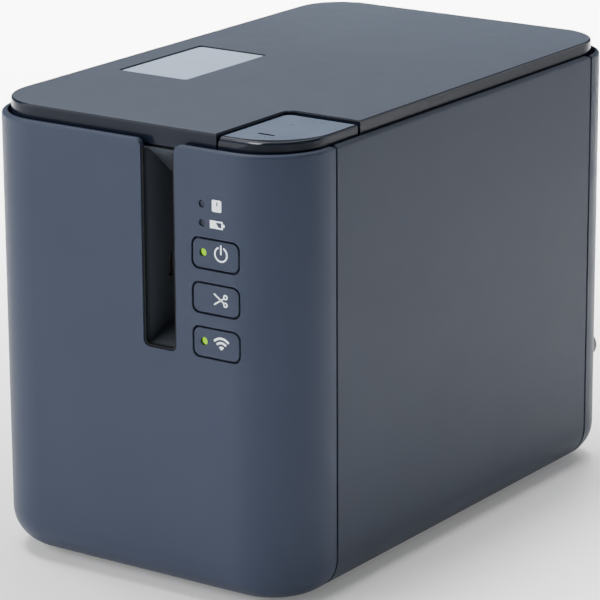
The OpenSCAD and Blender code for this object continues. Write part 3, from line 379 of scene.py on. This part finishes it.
def printed(name, shapes, y, body, depth=0.02):
    """A printed symbol on a face that looks to the front: each shape is a list of its outline and holes."""
    points, faces = [], []
    for shape in shapes:
        flat = [[Vector((x, z, 0)) for x, z in loop] for loop in shape]
        triangles = tessellate_polygon(flat)
        corners = [(p.x, p.y) for loop in flat for p in loop]
        start = len(points)
        points += [(x, y, z) for x, z in corners]
        points += [(x, y + depth, z) for x, z in corners]
        n = len(corners)
        faces += [tuple(start + i for i in t) for t in triangles]
        faces += [tuple(start + n + i for i in reversed(t)) for t in triangles]
        first = start
        for loop in shape:
            k = len(loop)
            for i in range(k):
                j = (i + 1) % k
                faces.append((first + i, first + j, first + n + j, first + n + i))
            first += k
    made = add_mesh(name, points, faces, ink)
    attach(made, body)
    return made


def tube(name, path, r, material, sides=10):
    """A round wire along a path of points."""
    points, faces = [], []
    path = [Vector(p) for p in path]
    normal = None
    for i, p in enumerate(path):
        along = (path[min(i + 1, len(path) - 1)] - path[max(i - 1, 0)]).normalized()
        if normal is None:
            normal = along.orthogonal().normalized()
        normal = (normal - along * normal.dot(along)).normalized()
        across = along.cross(normal)
        for k in range(sides):
            a = 2 * math.pi * k / sides
            points.append(p + (normal * math.cos(a) + across * math.sin(a)) * r)
    for i in range(len(path) - 1):
        for k in range(sides):
            a, b = i * sides + k, i * sides + (k + 1) % sides
            faces.append((a, b, b + sides, a + sides))
    faces.append(tuple(range(sides - 1, -1, -1)))
    faces.append(tuple(range(len(points) - sides, len(points))))
    return add_mesh(name, points, faces, material, smooth=True)


def block(name, low, high, material, body, bevel):
    """A box between two corners with bevelled edges, which rides on a body."""
    x0, y0, z0 = low
    x1, y1, z1 = high
    points = [(x, y, z) for z in (z0, z1) for y in (y0, y1) for x in (x0, x1)]
    faces = [(0, 1, 3, 2), (4, 6, 7, 5), (0, 4, 5, 1), (2, 3, 7, 6), (0, 2, 6, 4), (1, 5, 7, 3)]
    made = add_mesh(name, points, faces, material)
    bm = bmesh.new()
    bm.from_mesh(made.data)
    bmesh.ops.bevel(bm, geom=bm.edges[:], offset=bevel * MM, segments=2, affect="EDGES")
    bm.to_mesh(made.data)
    bm.free()
    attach(made, body)
    return made


def box_mm(name):
    """The low and high corners of a node's box, in millimetres."""
    return [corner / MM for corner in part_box(name)]


# ---------- Printed symbols ----------

# How far the print stands in front of the cover and of the buttons, in millimetres
COVER_LIFT, KEY_LIFT = 0.004, 0.012
ON_COVER = box_mm("front_cover")[0].y - COVER_LIFT
ON_KEY = box_mm("cutter_button")[0].y - KEY_LIFT

# A label with a slit in it
label = rounded_box(31.55, 123.5, 34.9, 127.1, 0.45)
slit = rounded_box(33.1, 125.3, 33.6, 126.5, 0.2)
printed("symbol_label_fault", [[label, list(reversed(slit))]], ON_COVER, "housing")

# A battery lying on its side, with its missing charge left open
BATTERY_LEFT, BATTERY_RIGHT, BATTERY_TIP = 30.75, 35.4, 36.05
BATTERY_LOW, BATTERY_HIGH = 118.4, 120.8
battery = [
    (BATTERY_LEFT, BATTERY_LOW),
    (BATTERY_RIGHT, BATTERY_LOW),
    (BATTERY_RIGHT, 119.1),
    (BATTERY_TIP, 119.2),
    (BATTERY_TIP, 120.0),
    (BATTERY_RIGHT, 120.1),
    (BATTERY_RIGHT, BATTERY_HIGH),
    (BATTERY_LEFT, BATTERY_HIGH),
]
missing_charge = [(32.75, 120.35), (34.9, 120.35), (34.9, 118.85), (33.85, 118.85)]
printed("symbol_battery", [[battery, missing_charge]], ON_COVER, "housing")

# A ring that is open at the top, with a stroke in the opening
POWER_X, POWER_Z, POWER_OPEN = 34.5, 110.75, 24
printed(
    "symbol_power",
    [
        band(POWER_X, POWER_Z, 1.93, 2.42, 90 + POWER_OPEN, 450 - POWER_OPEN),
        stroke(POWER_X, POWER_Z + 0.1, POWER_X, POWER_Z + 2.6, 0.5),
    ],
    ON_KEY,
    "power_key",
)

# A pair of scissors that opens to the left
BLADE_WIDTH = 0.44
printed(
    "symbol_scissors",
    [
        stroke(31.95, 98.3, 35.5, 95.85, BLADE_WIDTH),
        stroke(32.0, 95.2, 35.5, 97.45, BLADE_WIDTH),
        ring(35.95, 97.85, 0.38, 0.8),
        ring(35.93, 95.5, 0.38, 0.8),
    ],
    ON_KEY,
    "cutter_key",
)

# Two waves over a wedge
WAVE_X, WAVE_Z = 34.3, 81.25
WAVE_START, WAVE_END = 44, 136
printed(
    "symbol_wireless",
    [
        band(WAVE_X, WAVE_Z, 3.3, 3.95, WAVE_START, WAVE_END),
        band(WAVE_X, WAVE_Z, 1.95, 2.6, WAVE_START, WAVE_END),
        [[(WAVE_X, WAVE_Z)] + arc(WAVE_X, WAVE_Z, 1.2, WAVE_START, WAVE_END, 12)],
    ],
    ON_KEY,
    "wireless_key",
)


# ---------- Small fittings ----------

# Coil of the release button's spring
spring_low, spring_high = box_mm("release_spring")
spring_height = spring_high.z - spring_low.z
WIRE_R, TURNS, FLAT_TURNS, STEPS = 0.38, 7, 0.8, 36
coil_x, coil_y = (spring_low.x + spring_high.x) / 2, (spring_low.y + spring_high.y) / 2
coil_r = (spring_high.x - spring_low.x) / 2 - WIRE_R
coil_path = []
for i in range(TURNS * STEPS + 1):
    turn = i / STEPS
    # The wire lies flat at both ends and climbs between them
    climb = min(max((turn - FLAT_TURNS) / (TURNS - 2 * FLAT_TURNS), 0), 1)
    a = 2 * math.pi * turn
    z = spring_low.z + WIRE_R + (spring_height - 2 * WIRE_R) * climb
    coil_path.append((coil_x + coil_r * math.cos(a), coil_y + coil_r * math.sin(a), z))
coil = tube("spring_coil", coil_path, WIRE_R, finishes["steel"])
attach(coil, "housing")
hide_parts("release_spring")
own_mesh(coil)

# Thin black sheet on the walls of the recess around the lid window: painted shade for the recess's shadowed
# walls
window_low, window_high = box_mm("lid_window")
lid_top = box_mm("lid_cover")[1].z
# The window's hidden flange, the corner radius of its opening, and the shade sheet's thickness and depth
FLANGE, WINDOW_R, SHADE_SHEET, SHADE_SHEET_DEPTH = 1.0, 1.4, 0.14, 0.75
# Clearance of the shade sheet beside the opening's wall and below the lid's top
SHADE_SHEET_GAP, SHADE_SHEET_BELOW = 0.005, 0.02
loops = [
    rounded_box(
        window_low.x + FLANGE + inset,
        window_low.y + FLANGE + inset,
        window_high.x - FLANGE - inset,
        window_high.y - FLANGE - inset,
        WINDOW_R - inset,
    )
    for inset in (SHADE_SHEET_GAP, SHADE_SHEET)
]
levels = (lid_top - SHADE_SHEET_DEPTH, lid_top - SHADE_SHEET_BELOW)
points = [(x, y, z) for z in levels for loop in loops for x, y in loop]
count = len(loops[0])
faces = []
for i in range(count):
    j = (i + 1) % count
    # Bottom outer, bottom inner, top outer and top inner edge of this segment
    rows = [(k * count + i, k * count + j) for k in range(4)]
    for first, second in ((0, 1), (1, 3), (3, 2), (2, 0)):
        faces.append((*rows[first], rows[second][1], rows[second][0]))
recess_shade = add_mesh("window_recess_shade", points, faces, finishes["black_plastic"])
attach(recess_shade, "lid")

# Centre contact of the power inlet
inlet_low, inlet_high = box_mm("power_inlet")
PIN_R, PIN_INNER, PIN_SHOULDER, PIN_TIP = 1.05, 12.5, 3, 2
pin_x, pin_z = (inlet_low.x + inlet_high.x) / 2, (inlet_low.z + inlet_high.z) / 2
pin = tube(
    "inlet_contact",
    [(pin_x, inlet_high.y - inward, pin_z) for inward in (PIN_INNER, PIN_SHOULDER, PIN_TIP)],
    PIN_R,
    gold,
    24,
)
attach(pin, "housing")

# Lens of the tape sensor, in the left wall of the slot
chute_low, chute_high = box_mm("exit_chute")
SENSOR_LOW, SENSOR_HIGH = 96.9, 103.7
sensor_finish = surface("sensor_lens", (0.03, 0.013, 0.012), 0.2, grain=0.05, edge=0.1)
block(
    "sensor_lens",
    (chute_low.x + 0.4, chute_high.y - 3.3, SENSOR_LOW),
    (chute_low.x + 1.9, chute_high.y - 0.9, SENSOR_HIGH),
    sensor_finish,
    "housing",
    0.15,
)

# Dark block in the groove of the mark on the release button's pad: painted shadow of the groove's walls
pad_top = box_mm("release_button_pad")[1].z
MARK_LEFT, MARK_RIGHT, MARK_FRONT, MARK_BACK = 38.35, 43.95, -82.1, -80.9
mark_shadow_finish = surface("mark_painted_shadow", (0.004, 0.004, 0.005), 0.8, grain=0.1, wear=0.0, specular=0.0, edge=0.03)
block(
    "mark_groove_shadow",
    (MARK_LEFT, MARK_FRONT, pad_top - 0.9),
    (MARK_RIGHT, MARK_BACK, pad_top - 0.03),
    mark_shadow_finish,
    "release",
    0.02,
)

# Contacts in the two data sockets
usb_low, usb_high = box_mm("usb_socket")
usb_x, usb_z = (usb_low.x + usb_high.x) / 2, (usb_low.z + usb_high.z) / 2
# Distance of the contacts from the socket's centre line, sideways and up, and half their width and thickness
USB_ASIDE, USB_UP, USB_HALF_WIDTH, USB_HALF_THICK = 1.3, 1.62, 0.45, 0.06
for side in (-1, 1):
    for level in (-1, 1):
        contact_x, contact_z = usb_x + side * USB_ASIDE, usb_z + level * USB_UP
        block(
            f"usb_contact_{side + 1}_{level + 1}",
            (contact_x - USB_HALF_WIDTH, usb_high.y - 8, contact_z - USB_HALF_THICK),
            (contact_x + USB_HALF_WIDTH, usb_high.y - 1.6, contact_z + USB_HALF_THICK),
            gold,
            "housing",
            0.03,
        )
serial_low, serial_high = box_mm("serial_socket")
serial_x = (serial_low.x + serial_high.x) / 2
serial_top = serial_low.z + 9.5
SERIAL_CONTACTS, SERIAL_PITCH, SERIAL_WIRE_R = 6, 1.27, 0.22
for i in range(SERIAL_CONTACTS):
    x = serial_x + (i - (SERIAL_CONTACTS - 1) / 2) * SERIAL_PITCH
    wire = tube(
        f"serial_contact_{i}",
        [
            (x, serial_high.y - 1.2, serial_top - 0.25),
            (x, serial_high.y - 3, serial_top - 0.9),
            (x, serial_high.y - 9.5, serial_top - 2.6),
        ],
        SERIAL_WIRE_R,
        gold,
        8,
    )
    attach(wire, "housing")


# ---------- Stage, light and camera ----------

# Half the floor's width, in metres
FLOOR = 4.0
floor_corners = [(-FLOOR, -FLOOR, 0), (FLOOR, -FLOOR, 0), (FLOOR, FLOOR, 0), (-FLOOR, FLOOR, 0)]
floor_finish = surface("floor", (0.9, 0.9, 0.9), 0.6, glow=0.15, grain=0.02, mottle=0.01, edge=0.01)
floor_mesh = bpy.data.meshes.new("floor")
floor_mesh.from_pydata(floor_corners, [], [(0, 1, 2, 3)])
floor_mesh.materials.append(floor_finish)
floor = bpy.data.objects.new("floor", floor_mesh)
bpy.context.scene.collection.objects.link(floor)

world = bpy.data.worlds.new("studio")
world.use_nodes = True
background = world.node_tree.nodes["Background"]
background.inputs["Color"].default_value = (1.0, 1.0, 1.0, 1)
background.inputs["Strength"].default_value = 0.15
bpy.context.scene.world = world


def direction(azimuth, elevation):
    """The unit vector that points at azimuth 0 to the front, at 90 to the right, and up by the elevation."""
    a, e = math.radians(azimuth), math.radians(elevation)
    return Vector((math.sin(a) * math.cos(e), -math.cos(a) * math.cos(e), math.sin(e)))


def softbox(name, azimuth, elevation, distance, size, energy, target=(0, 0, 0.07), spread=180):
    """An area light that stands in that direction from the target and looks at it."""
    back = direction(azimuth, elevation)
    light = bpy.data.lights.new(name, "AREA")
    light.shape = "RECTANGLE"
    light.size, light.size_y = size
    light.energy = energy
    light.spread = math.radians(spread)
    made = bpy.data.objects.new(name, light)
    made.location = Vector(target) + back * distance
    made.rotation_mode = "QUATERNION"
    made.rotation_quaternion = (-back).to_track_quat("-Z", "Y")
    bpy.context.scene.collection.objects.link(made)


softbox("key", -38, 20, 2.2, (2.6, 2.0), 74)
softbox("side_fill", 150, 14, 1.8, (1.0, 1.0), 8)
softbox("top_left", -84, 67, 1.5, (0.3, 0.3), 13)
softbox("overhead", 0, 90, 1.5, (2, 2), 40, target=(-0.4, 0.55, 0))
softbox("backdrop", 0, 90, 1.0, (0.9, 0.9), 24, target=(-0.45, 0.68, 0), spread=40)
softbox("right_floor", 0, 90, 0.9, (0.5, 0.9), 2.0, target=(0.34, 0.05, 0), spread=5)
softbox("front_floor", 0, 90, 0.9, (0.6, 0.44), 0.5, target=(-0.2, -0.37, 0), spread=5)

AZIMUTH, ELEVATION, ROLL = 34.793, 16.387, -0.314
DISTANCE, LENS = 1.096, 202.3
# The camera aims at the middle of the body, moved right and up in its own view by these millimetres
MIDDLE = Vector((0, 0, 0.073))
AIM_RIGHT, AIM_UP = -3.167, -4.988
back = direction(AZIMUTH, ELEVATION)
level = direction(AZIMUTH + 90, 0)
upright = back.cross(level)
roll = math.radians(ROLL)
right = level * math.cos(roll) + upright * math.sin(roll)
up = upright * math.cos(roll) - level * math.sin(roll)
target = MIDDLE + (right * AIM_RIGHT + up * AIM_UP) * MM
camera = bpy.data.cameras.new("camera")
camera.lens, camera.sensor_width = LENS, 36
camera.clip_start, camera.clip_end = 0.05, 50
eye = bpy.data.objects.new("camera", camera)
turned = Matrix((right, up, back)).transposed().to_4x4()
eye.matrix_world = Matrix.Translation(target + back * DISTANCE) @ turned
bpy.context.scene.collection.objects.link(eye)
bpy.context.scene.camera = eye
